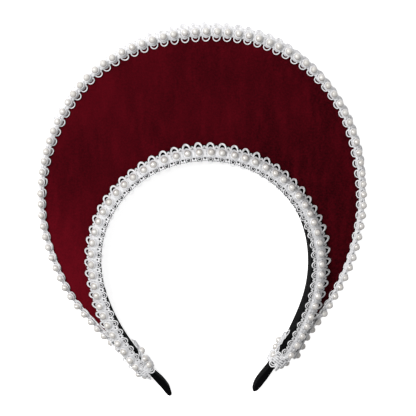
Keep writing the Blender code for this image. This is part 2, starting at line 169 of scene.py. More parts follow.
# The tongue lies flat on the leg's inner side at its top, and climbs to the leg's front at its foot
tongueLay = {
    "climb": {-1: 1.35, 1: 0.4}, "rate": 0.12, "range": (-0.1, 1.1), "inset": 0.5, "edgeUp": 1.3,
    "ridge": (0.9, 0.8, 1.4, 5.2), "other": (2.6, 0.5, 1.6),
}


def tongueSection(top, sign):
    def section(distance):
        half = bandPath.value("depth", distance) / 2 - tongueLay["inset"]
        flat = bandPath.value("thick", distance) / 2 + gap * 2
        climb = tongueLay["climb"][sign] + tongueLay["rate"] * sign * (distance - top)
        climb = np.clip(climb, *tongueLay["range"])
        (out, bend, back, up), (farOut, farBend, farUp) = tongueLay["ridge"], tongueLay["other"]
        spots = ((-flat, (tongueLay["edgeUp"] * climb - 1) * half),
                 (climb * (out + bend * climb) - flat - back, up * climb),
                 (climb * (farOut + farBend * climb) - flat, half + farUp * climb))
        return [np.stack([outwards, bandMiddle + upwards], -1) for outwards, upwards in spots]
    return section


# Points on a braid, from distances along it, reaches across it (-1 and 1 at its two edges, 0 on its
# ridge) and heights above it. Gives the points and the directions that stand up from the braid.
def layOn(braid, distance, reach, height, soft=None):
    distance, reach, height = np.broadcast_arrays(distance, reach, height)
    place, outward, _ = braid["path"].at(distance)
    edge, ridge, other = braid["section"](distance)
    rise, fall = unit(ridge - edge), unit(other - ridge)
    lengths = np.where(reach < 0, np.linalg.norm(ridge - edge, axis=-1),
                       np.linalg.norm(other - ridge, axis=-1))
    across = reach * lengths
    root = np.sqrt(across ** 2 + (braid["soft"] if soft is None else soft) ** 2)
    before, after = (across - root) / 2, (across + root) / 2
    turn = (0.5 + 0.5 * across / root)[..., None]
    upIn, upOut = (np.stack([-way[..., 1], way[..., 0]], -1) for way in (rise, fall))
    normal = unit(upIn * (1 - turn) + upOut * turn)
    section = ridge + before[..., None] * rise + after[..., None] * fall + height[..., None] * normal
    flat = place + openingCentre + section[..., :1] * outward
    point = np.concatenate([flat, np.maximum(section[..., 1:], lowestThread)], -1)
    stand = np.concatenate([normal[..., :1] * outward, normal[..., 1:]], -1)
    return point, stand


def addObject(name, data):
    thing = bpy.data.objects.new(name, data)
    bpy.context.scene.collection.objects.link(thing)
    return thing


class Mesh:
    # Gathers rows of rings into one closed mesh with a length and a turn for each corner
    def __init__(self):
        self.points, self.faces, self.uvs, self.shadesAndTones = [], [], [], []
        self.count = 0

    # rings[strand, ring, corner, xyz]: each strand becomes a closed tube
    def addRings(self, rings, lengths=None, shadeAndTone=None, girth=1.0):
        strands, steps, sides = rings.shape[:3]
        if lengths is None:
            middles = rings.mean(2)
            steps3d = np.linalg.norm(np.diff(middles, axis=1), axis=-1)
            lengths = np.concatenate([np.zeros((strands, 1)), np.cumsum(steps3d, 1)], 1)
        index = self.count + np.arange(strands * steps * sides).reshape(strands, steps, sides)
        after = np.roll(index, -1, axis=2)
        quads = np.stack([index[:, :-1], index[:, 1:], after[:, 1:], after[:, :-1]], -1)
        self.faces += quads.reshape(-1, 4).tolist()
        turn = np.arange(sides) / sides
        low, high = lengths[:, :-1, None] + 0 * turn, lengths[:, 1:, None] + 0 * turn
        here = np.broadcast_to(turn, low.shape)
        here, there = here * girth, (here + 1 / sides) * girth
        corners = [(low, here), (high, here), (high, there), (low, there)]
        self.uvs += np.stack([np.stack(pair, -1) for pair in corners], -2).reshape(-1, 2).tolist()
        for ends, flip in ((index[:, 0], 1), (index[:, -1], -1)):
            for ring in ends:
                self.faces.append(ring[::flip].tolist())
                self.uvs += [[0, 0]] * sides
        self.points.append(rings.reshape(-1, 3))
        amount = np.broadcast_to(1.0 if shadeAndTone is None else shadeAndTone, strands)
        self.shadesAndTones.append(np.repeat(amount, steps * sides))
        self.count += strands * steps * sides

    # lines[strand, point, xyz] with the directions that stand up from the braid there
    def addTubes(self, lines, stands, radius, sides=6, shadeAndTone=None, flat=1.0):
        along = unit(np.gradient(lines, axis=1))
        side = unit(np.cross(along, stands))
        up = np.cross(side, along) * flat
        turn = np.arange(sides) * 2 * pi / sides
        radius = np.broadcast_to(radius, lines.shape[:2])[..., None, None]
        ring = (np.cos(turn)[:, None] * side[:, :, None] + np.sin(turn)[:, None] * up[:, :, None])
        self.addRings(lines[:, :, None] + radius * ring, shadeAndTone=shadeAndTone)

    def toObject(self, name, material, slot, body="root"):
        mesh = bpy.data.meshes.new(name)
        mesh.from_pydata((np.concatenate(self.points) * mm).tolist(), [], self.faces)
        layer = mesh.uv_layers.new(name="lengthAndTurn")
        layer.data.foreach_set("uv", np.array(self.uvs, dtype=np.float32).ravel())
        shadeAndTone = mesh.attributes.new("shadeAndTone", "FLOAT", "POINT")
        shadeAndTone.data.foreach_set("value", np.concatenate(self.shadesAndTones).astype(np.float32))
        mesh.shade_smooth()
        piece = addObject(name, mesh)
        piece.data.materials.append(material)
        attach(piece, body)
        return piece


# Shader nodes, and groups of them that are each built once

class Nodes:
    def __init__(self, tree):
        self.tree, self.nodes, self.links = tree, tree.nodes, tree.links

    # A new node's outputs. What feeds its sockets is a plain value or another node's output.
    def add(self, kind, feeds=(), **settings):
        node = self.nodes.new("ShaderNode" + kind)
        for name, value in settings.items():
            setattr(node, name, value)
        for label, value in dict(feeds).items():
            if isinstance(value, (int, float, tuple)):
                node.inputs[label].default_value = value
            else:
                self.links.new(value, node.inputs[label])
        return node.outputs

    def math(self, operation, *values):
        return self.add("Math", enumerate(values), operation=operation)[0]

    # Two values, each times its own weight, added up
    def weigh(self, first, firstWeight, second, secondWeight):
        return self.math("MULTIPLY_ADD", first, firstWeight, self.math("MULTIPLY", second, secondWeight))

    def noise(self, vector, scale, detail=2.0, stretch=None):
        if stretch:
            vector = self.add("VectorMath", {0: vector, 1: stretch}, operation="MULTIPLY")[0]
        return self.add("TexNoise", {"Vector": vector, "Scale": scale, "Detail": detail})["Fac"]

    def spread(self, value, low, high):
        return self.add("MapRange", {"Value": value, "From Min": low, "From Max": high},
                        interpolation_type="SMOOTHSTEP")["Result"]

    def split(self, vector):
        return self.add("SeparateXYZ", {0: vector})


# A group that takes a vector and plain values, and gives plain values
def newGroup(name, values, outputs):
    group = bpy.data.node_groups.new(name, "ShaderNodeTree")
    group.interface.new_socket(name="Vector", in_out="INPUT", socket_type="NodeSocketVector")
    for label, value in values.items():
        socket = group.interface.new_socket(name=label, in_out="INPUT", socket_type="NodeSocketFloat")
        socket.default_value = value
    for label in outputs:
        group.interface.new_socket(name=label, in_out="OUTPUT", socket_type="NodeSocketFloat")
    start, end = (group.nodes.new("NodeGroup" + way) for way in ("Input", "Output"))
    return Nodes(group), start.outputs, end.inputs


# Velvet's nap: soft blotches where it was brushed, short upright streaks and a fine pile
def makeNapGroup():
    scales = {"Blotch Scale": 38.0, "Streak Scale": 210.0, "Pile Scale": 900.0}
    group, start, end = newGroup("velvetNap", scales, ("Blotches", "Streaks", "Pile"))
    blotches = group.noise(start["Vector"], start["Blotch Scale"], 4.0, (1.0, 0.6, 1.0))
    streaks = group.noise(start["Vector"], start["Streak Scale"], 3.0, (1.0, 0.3, 1.0))
    pile = group.noise(start["Vector"], start["Pile Scale"])
    group.links.new(group.spread(blotches, 0.32, 0.70), end["Blotches"])
    group.links.new(group.spread(streaks, 0.4, 0.8), end["Streaks"])
    group.links.new(pile, end["Pile"])
    return group.tree


# Plain weave from a length and a width in millimetres
def makeWeaveGroup():
    group, start, end = newGroup("plainWeave", {"Threads per mm": 2.5}, ("Height", "Thread"))
    parts = group.split(start["Vector"])
    ways = [group.math("MULTIPLY", parts[k], start["Threads per mm"]) for k in (0, 1)]
    waves = [group.math("ABSOLUTE", group.math("SINE", group.math("MULTIPLY", way, pi))) for way in ways]
    cells = [group.math("MODULO", group.math("FLOOR", way), 2.0) for way in ways]
    over = group.math("ABSOLUTE", group.math("SUBTRACT", *[group.math("ABSOLUTE", cell) for cell in cells]))
    under = group.math("SUBTRACT", 1.0, over)
    height = group.math("ADD", *[group.math("MULTIPLY", *pair) for pair in zip(waves, (over, under))])
    group.links.new(height, end["Height"])
    group.links.new(over, end["Thread"])
    return group.tree


# Plies twisted along a thread, from its length in millimetres and the turn round it
def makeTwistGroup():
    group, start, end = newGroup("threadTwist", {"Turns per mm": 0.9, "Plies": 3.0}, ("Height",))
    parts = group.split(start["Vector"])
    run = group.math("MULTIPLY", parts[0], start["Turns per mm"])
    turn = group.math("MULTIPLY", parts[1], start["Plies"])
    wave = group.math("SINE", group.math("MULTIPLY", group.math("ADD", run, turn), 2 * pi))
    group.links.new(group.math("MULTIPLY_ADD", wave, 0.5, 0.5), end["Height"])
    return group.tree


napGroup = makeNapGroup()
weaveGroup = makeWeaveGroup()
twistGroup = makeTwistGroup()


class Finish(Nodes):
    # A material with one Principled BSDF, whose plain values sit on its own sockets
    def __init__(self, name, values):
        self.material = bpy.data.materials.new(name)
        self.material.use_nodes = True
        super().__init__(self.material.node_tree)
        self.shader = self.nodes["Principled BSDF"]
        for label, value in values.items():
            self.shader.inputs[label].default_value = value

    def place(self, group, vector, values=()):
        return self.add("Group", {"Vector": vector, **dict(values)}, node_tree=group)

    def objectVector(self):
        return self.add("TexCoord")["Object"]

    def lengthVector(self):
        return self.add("UVMap", uv_map="lengthAndTurn")["UV"]

    # 0 on the braid's dense middle, which is given painted shade, and 1 on its top threads; on a pearl, its
    # own random tone
    def shadeAndToneShare(self):
        return self.add("Attribute", attribute_name="shadeAndTone")["Fac"]

    def mix(self, share, *colours):
        first, second = ((*colour, 1) if isinstance(colour, tuple) else colour for colour in colours)
        return self.add("Mix", {"Factor": share, "A": first, "B": second}, data_type="RGBA")["Result"]

    def bump(self, height, strength, distance):
        feeds = {"Height": height, "Strength": strength, "Distance": distance * mm}
        self.links.new(self.add("Bump", feeds)["Normal"], self.shader.inputs["Normal"])

    def colour(self, output):
        self.links.new(output, self.shader.inputs["Base Color"])

    def roughness(self, share, low, high):
        ranged = self.add("MapRange", {"Value": share, "To Min": low, "To Max": high})["Result"]
        self.links.new(ranged, self.shader.inputs["Roughness"])


def makeVelvet():
    look = {
        "dark": (0.016, 0.0006, 0.0017), "red": (0.054, 0.0013, 0.0038), "bright": (0.105, 0.0025, 0.007),
        # the next values weigh random blotches and painted light, which is lighter towards the upper left and
        # the lower left
        "climb": 6.0, "lightSideways": -5.0, "blotchShare": 0.55, "sideLightShare": 0.65,
        "pileShare": 0.9, "pileStart": -0.29, "streakShare": 0.28,
        "lowLeftLightSlope": -1.2, "lowLeftLightFrom": 0.05, "lowLeftLightTo": 0.13, "cornerShare": 0.75,
    }
    velvet = Finish("darkRedVelvet", {
        "Roughness": 0.9, "Specular IOR Level": 0.02, "Sheen Weight": 0.06, "Sheen Roughness": 0.35,
        "Sheen Tint": (0.6, 0.02, 0.06, 1)})
    place = velvet.objectVector()
    nap = velvet.place(napGroup, place)
    sideways, upwards, _ = velvet.split(place)
    paintedSideLight = velvet.weigh(sideways, look["lightSideways"], upwards, look["climb"])     # painted light: lighter towards the upper left, darker to the right
    share = velvet.weigh(nap["Blotches"], look["blotchShare"], paintedSideLight, look["sideLightShare"])
    base = velvet.mix(share, look["dark"], look["red"])
    fleck = velvet.math("MULTIPLY_ADD", nap["Pile"], look["pileShare"], look["pileStart"])
    # painted light: lighter towards the lower left
    corner = velvet.weigh(upwards, look["lowLeftLightSlope"], sideways, -1.0)
    lowLeftLight = velvet.spread(corner, look["lowLeftLightFrom"], look["lowLeftLightTo"])
    lift = velvet.math("MULTIPLY_ADD", lowLeftLight, look["cornerShare"], fleck)
    # painted light at the lower left, with the pile's flecks and the nap's streaks, lifts the colour towards
    # bright
    paintedLightAndNap = velvet.math("MULTIPLY_ADD", nap["Streaks"], look["streakShare"], lift)
    velvet.colour(velvet.mix(paintedLightAndNap, base, look["bright"]))
    velvet.roughness(nap["Pile"], 0.8, 1.0)
    velvet.bump(nap["Pile"], 0.5, 0.2)
    return velvet.material


def makeBlackFabric():
    look = {"dark": (0.001, 0.001, 0.0012), "light": (0.005, 0.005, 0.006), "wearScale": 180.0}
    fabric = Finish("blackWovenFabric", {
        "Roughness": 0.85, "Specular IOR Level": 0.03, "Sheen Weight": 0.005, "Sheen Roughness": 0.5})
    weave = fabric.place(weaveGroup, fabric.lengthVector(), {"Threads per mm": 1.6})
    wear = fabric.noise(fabric.objectVector(), look["wearScale"], 3.0)
    share = fabric.math("MULTIPLY", weave["Height"], wear)
    fabric.colour(fabric.mix(share, look["dark"], look["light"]))
    fabric.roughness(wear, 0.75, 0.95)
    fabric.bump(weave["Height"], 0.8, 0.2)
    return fabric.material


def makeLaceThread():
    look = {"paintedShadeGround": (0.30, 0.295, 0.31), "shade": (0.55, 0.545, 0.565), "white": (0.88, 0.88, 0.89),
            "wearScale": 420.0, "plyShare": 0.45, "wearShare": 0.9}
    thread = Finish("whiteLaceThread", {
        "Roughness": 0.55, "Specular IOR Level": 0.3, "Sheen Weight": 0.1, "Sheen Roughness": 0.4})
    twist = thread.place(twistGroup, thread.lengthVector())
    wear = thread.noise(thread.objectVector(), look["wearScale"])
    share = thread.weigh(twist["Height"], look["plyShare"], wear, look["wearShare"])
    # painted shade: the ground colour darkens the dense middle that lies under the loops
    thread.colour(thread.mix(thread.shadeAndToneShare(), look["paintedShadeGround"],
                             thread.mix(share, look["shade"], look["white"])))
    thread.roughness(wear, 0.45, 0.7)
    thread.bump(twist["Height"], 0.7, 0.08)
    return thread.material


def makePearl():
    look = {"edge": (0.26, 0.23, 0.21), "warm": (0.54, 0.51, 0.475), "cool": (0.64, 0.625, 0.605),
            "cloudScale": 700.0, "cloudShare": 0.5, "shadeAndToneShare": 0.5, "edgeShadePower": 1.5}
    pearl = Finish("ivoryPearl", {
        "Roughness": 0.18, "Specular IOR Level": 0.8, "Coat Weight": 1.0, "Coat Roughness": 0.05,
        "Coat IOR": 1.8})
    cloud = pearl.noise(pearl.objectVector(), look["cloudScale"])
    share = pearl.weigh(cloud, look["cloudShare"], pearl.shadeAndToneShare(), look["shadeAndToneShare"])
    edgeShade = pearl.add("LayerWeight")["Facing"]     # painted shade: darker towards the pearl's edge, as it turns from the view
    pearl.colour(pearl.mix(pearl.math("POWER", edgeShade, look["edgeShadePower"]),
                           pearl.mix(share, look["warm"], look["cool"]), look["edge"]))
    pearl.roughness(cloud, 0.14, 0.24)
    return pearl.material


velvetFinish = makeVelvet()
fabricFinish = makeBlackFabric()
laceFinish = makeLaceThread()
pearlFinish = makePearl()
print("materials made")


# Velvet crescent

crescent = {
    "thick": 6.0, "crown": 0.9, "fullCrownWidth": 60.0, "shoulder": 1.7, "stations": 170,
    "topPoints": 22, "puff": 0.7, "pressure": 3.0, "frames": 16, "clothQuality": 5, "clothMass": 0.2,
    "halfBand": 1.5, "ease": 0.1, "seamDrop": 0.2, "seamInset": 0.3, "shoulderShare": 0.3,
    "footIn": (0, 0.3, 0.8), "footUp": (1.6, 0.4, 0.0), "backInset": 1.1, "backReach": 0.96, "backPoints": 12,
    "seamFoot": 0.5, "seamTop": 0.4,
}


# The board's inner line and rim as radii at an angle from the middle of the opening
def crescentEdges():
    distance = np.linspace(0, bandPath.length, 500)
    place, outward, _ = bandPath.at(distance)
    inner = place + (crescent["halfBand"] + gap + crescent["ease"]) * outward
    rim = rimPath.points
    return [(np.degrees(np.arctan2(line[:, 0], line[:, 1])), np.hypot(*line.T)) for line in (inner, rim)]


def crescentRings():
    (innerAngles, innerRadii), (rimAngles, rimRadii) = crescentEdges()
    angles = np.linspace(rimAngles[4], rimAngles[-5], crescent["stations"])
    inner = np.interp(angles, innerAngles, innerRadii)[:, None]
    rim = np.interp(angles, rimAngles, rimRadii)[:, None]
    width = rim - inner
    top = crescent["thick"] - crescent["seamDrop"]
    inset = crescent["seamInset"]
    across = np.linspace(0, 1, crescent["topPoints"])
    shoulder = np.minimum(crescent["shoulder"], crescent["shoulderShare"] * width)
    radius = inner + inset + (width - inset - shoulder) * across
    rise = crescent["crown"] * np.minimum(1, width / crescent["fullCrownWidth"])
    height = top + rise * (1 - (2 * across - 1) ** 2)
    turn = np.linspace(0, pi / 2, 6)[1:]
    roundOut = rim - shoulder + shoulder * np.sin(turn)
    roundUp = top - shoulder + shoulder * np.cos(turn)
    lowOut = [rim - foot for foot in crescent["footIn"]]
    back = np.linspace(crescent["backReach"], 0, crescent["backPoints"])
    back = inner + inset + (width - crescent["backInset"]) * back
    low, seam = ([level + 0 * rim for level in levels]
                 for levels in (crescent["footUp"], (crescent["seamFoot"], top - crescent["seamTop"])))
    radii = np.concatenate([radius, roundOut, *lowOut, back, inner, inner], 1)
    heights = np.concatenate([height, roundUp, *low, 0 * back, *seam], 1)
    heading = np.radians(angles)[:, None]
    flat = np.stack([radii * np.sin(heading), radii * np.cos(heading)], -1) + openingCentre
    return np.concatenate([flat, heights[..., None]], -1)


# The velvet's front is blown up a little between its sewn edges, as padding does
def puffUp(piece, pinned):
    cloth = piece.modifiers.new("padding", "CLOTH")
    cloth.settings.quality = crescent["clothQuality"]
    cloth.settings.mass = crescent["clothMass"]
    cloth.settings.use_pressure = True
    cloth.settings.uniform_pressure_force = crescent["pressure"]
    cloth.settings.effector_weights.gravity = 0
    group = piece.vertex_groups.new(name="pinned")
    group.add(pinned, 1.0, "REPLACE")
    cloth.settings.vertex_group_mass = "pinned"
    scene = bpy.context.scene
    for step in range(1, crescent["frames"] + 1):
        scene.frame_set(step)
    shape = piece.evaluated_get(bpy.context.evaluated_depsgraph_get()).data
    before, after = (np.array([vertex.co for vertex in data.vertices]) for data in (piece.data, shape))
    piece.modifiers.remove(cloth)
    piece.vertex_groups.remove(group)
    scene.frame_set(1)
    move = after - before
    reach = np.linalg.norm(move, axis=1, keepdims=True)
    cap = crescent["puff"] * mm
    move *= np.minimum(1, cap / np.maximum(reach, 1e-9))
    for vertex, place in zip(piece.data.vertices, before + move):
        vertex.co = place
    print("padding blown up by", round(float(np.linalg.norm(move, axis=1).max() / mm), 2), "mm")


def makeCrescent():
    rings = crescentRings()
    cover = Mesh()
    cover.addRings(rings[None])
    piece = cover.toObject("velvetCover", velvetFinish, "velvet")
    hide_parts("velvet_crescent")
    stations, around = rings.shape[:2]
    free = {s * around + k for s in range(2, stations - 2) for k in range(2, crescent["topPoints"] - 2)}
    puffUp(piece, [i for i in range(stations * around) if i not in free])
    return piece


makeCrescent()
print("velvet crescent made")


# Hair band

band = {
    "step": 1.6, "corner": 0.9, "cornerShare": 0.85, "ends": 0.25, "tipSpan": 3, "tipRings": 7,
    "frontDrop": 0.4,
    "bareThick": 3.0, "tipThick": 3.8, "tipSwell": 0.22,    # the fabric is doubled at the tips
}


def roundedRing(halfThick, low, high, corner, turns=4):
    ring = []
    spots = [(-1, 1, pi / 2), (1, 1, 0), (1, -1, -pi / 2), (-1, -1, -pi)]
    for sideways, upward, start in spots:
        middle = (low if upward < 0 else high) - upward * corner
        for turn in np.linspace(0, pi / 2, turns):
            angle = start + pi / 2 - turn
            ring.append([sideways * (halfThick - corner) + corner * np.cos(angle),
                         middle + corner * np.sin(angle)])
    return np.stack([np.stack(pair, -1) for pair in ring], -2)


def sweep(path, distance, section):
    place, outward, _ = path.at(distance)
    flat = (place + openingCentre)[:, None] + section[..., :1] * outward[:, None]
    return np.concatenate([flat, section[..., 1:]], -1)


def makeBand():
    tip = np.linspace(0, band["tipSpan"], band["tipRings"])
    distance = np.arange(band["ends"], bandPath.length - band["ends"], band["step"])
    distance = np.unique(np.concatenate([tip, distance, bandPath.length - tip]))
    thick = bandPath.value("thick", distance)
    half = thick / 2 + np.interp(thick, [band["bareThick"], band["tipThick"]], [0, band["tipSwell"]])
    depth = bandPath.value("depth", distance) / 2
    corner = np.minimum(band["corner"], half * band["cornerShare"])
    section = roundedRing(half, bandMiddle - depth, bandMiddle + depth - band["frontDrop"],
                          corner)
    sleeve = Mesh()
    girth = 2 * float(np.max(depth + half)) * 2
    sleeve.addRings(sweep(bandPath, distance, section)[None, :, ::-1], lengths=distance[None], girth=girth)
    piece = sleeve.toObject("bandSleeve", fabricFinish, "band_fabric")
    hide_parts("headband")
    return piece


# Padded roll of black fabric that the front braid lies on

roll = {
    "endInset": 2, "rings": 260, "points": 9, "innerOut": 0.6, "outerIn": 1.1, "slack": 0.45,
    "outerFoot": ((0.1, 6.6), (-0.6, 6.3)), "innerFoot": ((1.6, 6.3), (1.6, 13.0)), "girth": 30.0,
}


def makeRoll():
    distance = np.linspace(leftWrapTop + roll["endInset"], rightWrapTop - roll["endInset"], roll["rings"])
    edge, _, other = frontSection(distance)
    slope = (other - edge)[:, 1] / (other - edge)[:, 0]
    outer, start = other[:, 0] - roll["outerIn"], roll["innerOut"]
    outs = start + (outer - start)[:, None] * np.linspace(0, 1, roll["points"])
    ups = edge[:, 1:] + slope[:, None] * (outs - edge[:, :1]) - roll["slack"]
    foot = [(outer + out, up) for out, up in roll["outerFoot"]] + list(roll["innerFoot"])
    outs = np.concatenate([outs] + [np.broadcast_to(out, outer.shape)[:, None] for out, _ in foot], 1)
    ups = np.concatenate([ups] + [np.full((len(outer), 1), up) for _, up in foot], 1)
    skin = Mesh()
    skin.addRings(sweep(bandPath, distance, np.stack([outs, ups], -1))[None], lengths=distance[None],
                  girth=roll["girth"])
    piece = skin.toObject("paddedRoll", fabricFinish, "band_fabric")
    return piece


makeBand()
makeRoll()
print("hair band made")


# Lace braids

pattern = {
    "coreThick": 0.55, "coreSteps": 8, "bundleStrands": 5, "bundleReach": 0.8, "bundleRadius": 0.24,
    "ringGap": 0.05, "ringThread": 0.33, "ringDrop": 0.15, "stringRadius": 0.26, "arcTurn": 0.6,
    "holeDepth": 1.6, "unevenness": 0.02, "pearlUnevenness": 0.015, "loopLift": 0.1, "loopArch": 0.3,
    "picotTurn": 0.4, "picotLoops": ((0.11, 1.0), (0.05, 0.35)), "picotLift": 0.4, "picotRadius": 0.25,
    "ripple": 0.16, "seat": 0.45, "seatWidth": 0.35, "underside": -0.25,
    "plaitLanes": (0.5, 0.72, 0.92), "plaitSway": 0.06, "plaitThread": 0.27, "plaitSteps": 9,
    "plaitTurns": 1.5, "plaitLift": 0.2, "plaitShadeAndTone": 0.75,
    "bundleSplay": (0.045, 0.05), "bundleArch": (0.75, 0.25, 0.08),
}

# One braid: where it runs and how its two sides, -1 and 1, are worked. A reach is 1 at the edge of the
# solid braid. core: reach of the dense middle, and how far that bulges out beside each pearl.
# loops: reach of the tip, reach of the feet, half a loop's width in cells, thread radius.
# picot: reach of the small loop between two scallops, and its size as a reach.
# ease: how many cells further on than even ones a cell lies.
frontBraid = {
    "path": bandPath, "section": frontSection, "soft": 1.6, "lift": 1.1, "pearl": 2.2, "seed": 3,
    "start": leftWrapTop + gap, "length": rightWrapTop - leftWrapTop - 2 * gap, "slide": 0.05, "cells": 53,
    "ease": [(0, 0), (1.5, -0.25), (10.5, -0.33), (17.5, -0.43), (23.5, -0.2), (29.5, 0.08),
             (37.5, 0.12), (40.5, -0.12), (46.5, -0.13), (52.5, 0)],
    "core": {-1: (0.51, 0.05), 1: (0.47, 0.10)},
    "loops": {
        -1: [(1.06, 0.46, 0.35, 0.34), (0.84, 0.48, 0.19, 0.26)],
        1: [(0.97, 0.46, 0.31, 0.34), (0.84, 0.48, 0.25, 0.28)],
    },
    "picot": {-1: (0.76, 0.10), 1: (0.60, 0.08)},
}
rimBraid = {
    "path": rimPath, "section": rimSection, "soft": 1.6, "lift": 0.9, "pearl": 2.1, "seed": 5,
    "start": 0.0, "length": rimPath.length, "slide": 0.04, "cells": 85,
    "ease": [(0, 0), (4.5, -0.27), (6.5, -0.35), (12.5, -0.05), (20.5, 0.3), (28.5, 0.15),
             (34.5, -0.07), (46.5, -0.15), (54.5, -0.34), (60.5, -0.3), (69.5, -0.15), (78.5, 0.07), (85, 0)],
    "core": {-1: (0.50, 0.11), 1: (0.50, 0.06)},
    "loops": {
        -1: [(0.92, 0.52, 0.34, 0.36)],
        1: [(1.12, 0.60, 0.38, 0.32), (1.0, 0.58, 0.33, 0.30), (0.88, 0.56, 0.27, 0.30),
            (0.76, 0.52, 0.20, 0.30)],
    },
    "picot": {1: (0.70, 0.08)},
}


# Distances along a braid after a count of its cells
def cellPlace(braid, count):
    cells, shifts = zip(*braid["ease"])
    distance = braid["start"] + (count + np.interp(count, cells, shifts)) * braid["pitch"]
    return np.clip(distance, braid["start"] + 0.3, braid["start"] + braid["length"] - 0.3)


# Strands of the same kind in every cell, from shares of a cell, reaches and heights
def addStrands(mesh, braid, cellShare, reach, height, radius, sides=6, shadeAndTone=1.0):
    distance = cellPlace(braid, braid["middles"][:, None] + cellShare)
    points, stands = layOn(braid, distance, reach, height)
    mesh.addTubes(points, stands, radius, sides, shadeAndTone)


def addScallops(mesh, braid):
    count = braid["cells"]
    over = pattern["arcTurn"]
    turn = np.linspace(-over, pi + over, 15)
    for side, loops in braid["loops"].items():
        sway = braid["random"].normal(0, pattern["unevenness"], (count, 1))
        stretch = 1 + braid["random"].normal(0, pattern["unevenness"], (count, 1))
        for tip, base, halfWidth, radius in loops:
            share = halfWidth * np.cos(turn) + sway * np.sin(turn)
            reach = side * (base + (tip * stretch - base) * np.sin(turn))
            arch = pattern["loopArch"] * np.sin(turn) ** 2 * (tip < 0.9)     # only the short loops
            height = radius + pattern["loopLift"] + arch + 0 * share
            addStrands(mesh, braid, share, reach, height, radius)


# Small loops that fill the notch between two scallops
def addPicots(mesh, braid):
    over = pattern["picotTurn"]
    turn = np.linspace(-over, pi + over, 9)
    for side, (middle, size) in braid["picot"].items():
        for width, tall in pattern["picotLoops"]:
            share = 0.5 + width * np.cos(turn)
            reach = side * (middle - size + 2 * size * tall * np.sin(turn))
            height = pattern["picotLift"] + 0 * share
            addStrands(mesh, braid, share, reach, height, pattern["picotRadius"], 5)


# Reach of the dense middle on one side, short enough to leave the loops' holes open
def coreEdge(braid, side, distance, phase):
    edge, ridge, other = braid["section"](distance)
    span = np.linalg.norm(ridge - (edge if side < 0 else other), axis=-1)
    reach, bulge = braid["core"][side]
    return np.minimum(reach - bulge * np.cos(phase), 1 - pattern["holeDepth"] / span)


# Dense middle of the braid, as a puckered ribbon
def addCore(mesh, braid):
    count = np.linspace(0, braid["cells"], braid["cells"] * pattern["coreSteps"] + 1)
    distance = cellPlace(braid, count)
    phase = (count * 2 * pi)[:, None]
    across = np.linspace(-1, 1, 15)
    edges = [coreEdge(braid, side, distance, phase[:, 0])[:, None] for side in (-1, 1)]
    reach = np.where(across < 0, across * edges[0], across * edges[1])
    bulge = pattern["coreThick"] * (1 - across ** 4)
    plait = pattern["ripple"] * np.sin(phase * 2 + 5 * across) * np.sin(phase * 2 - 5 * across)
    seat = -pattern["seat"] * np.exp(-(across / pattern["seatWidth"]) ** 2)
    seat = seat * (0.6 - 0.4 * np.cos(phase))
    top, _ = layOn(braid, distance[:, None], reach, bulge + plait + seat)
    low, _ = layOn(braid, distance[:, None], reach[:, ::-1], pattern["underside"] + 0 * reach)
    # painted shade: the dense middle takes the dark ground colour
    mesh.addRings(np.concatenate([top, low], 1)[None], shadeAndTone=0.0)


# Threads that run along the braid in pairs and cross each other, in lanes beside the pearls
def addPlaits(mesh, braid):
    count = np.linspace(0, braid["cells"], braid["cells"] * pattern["plaitSteps"] + 1)
    distance = cellPlace(braid, count)
    phase = count * 2 * pi
    for side in (-1, 1):
        edge = coreEdge(braid, side, distance, phase)
        for lane in pattern["plaitLanes"]:
            for shift in (0, pi):
                wave = phase * pattern["plaitTurns"] + shift + 3 * lane
                reach = side * edge * (lane + pattern["plaitSway"] * np.sin(wave))
                height = (pattern["coreThick"] * (1 - lane ** 4) + pattern["plaitLift"]
                          + pattern["ripple"] * np.cos(wave))
                points, stands = layOn(braid, distance, reach, height)
                # painted shade: the plaits are set a quarter of the way towards the dark ground colour
                mesh.addTubes(points[None], stands[None], pattern["plaitThread"], 5,
                              pattern["plaitShadeAndTone"])


# Threads bundled across the braid between two pearls, and splayed towards its edges
def addBundles(mesh, braid):
    half = (pattern["bundleStrands"] - 1) / 2
    across = np.linspace(-1, 1, 9)
    edge = np.where(across < 0, braid["core"][-1][0], braid["core"][1][0]) * pattern["bundleReach"]
    for k in range(pattern["bundleStrands"]):
        near, far = pattern["bundleSplay"]
        lift, arch, fall = pattern["bundleArch"]
        spread = (k - half) * (near + far * across ** 2)
        height = lift + arch * (1 - across ** 2) - fall * (k - half) ** 2
        addStrands(mesh, braid, 0.5 + spread, across * edge, height, pattern["bundleRadius"], 5)


# A thread ring that each pearl sits in
def addPearlRings(mesh, braid):
    centres, stands, alongs = braid["pearlSpots"]
    side = np.cross(stands, alongs)
    turn = np.linspace(0, 2 * pi, 19)[:, None]
    radius = braid["pearl"] + pattern["ringGap"]
    low = centres - pattern["ringDrop"] * stands
    line = (low[:, None] + radius * (np.cos(turn) * alongs[:, None] * 1.05 + np.sin(turn) * side[:, None])
            - 0.25 * np.sin(turn) ** 2 * stands[:, None])
    mesh.addTubes(line, np.broadcast_to(stands[:, None], line.shape), pattern["ringThread"], 5)


# The thread that the pearls are strung on
def addString(mesh, braid):
    centres, stands, _ = braid["pearlSpots"]
    steps = np.linspace(0, 1, 5)[:-1]
    line = (centres[:-1, None] * (1 - steps[:, None]) + centres[1:, None] * steps[:, None])
    dip = np.sin(steps * pi)[:, None] * 0.25 * stands[:-1, None]
    line = (line - dip).reshape(1, -1, 3)
    stand = np.repeat(stands[:-1], 4, axis=0)[None]
    mesh.addTubes(line, stand, pattern["stringRadius"])


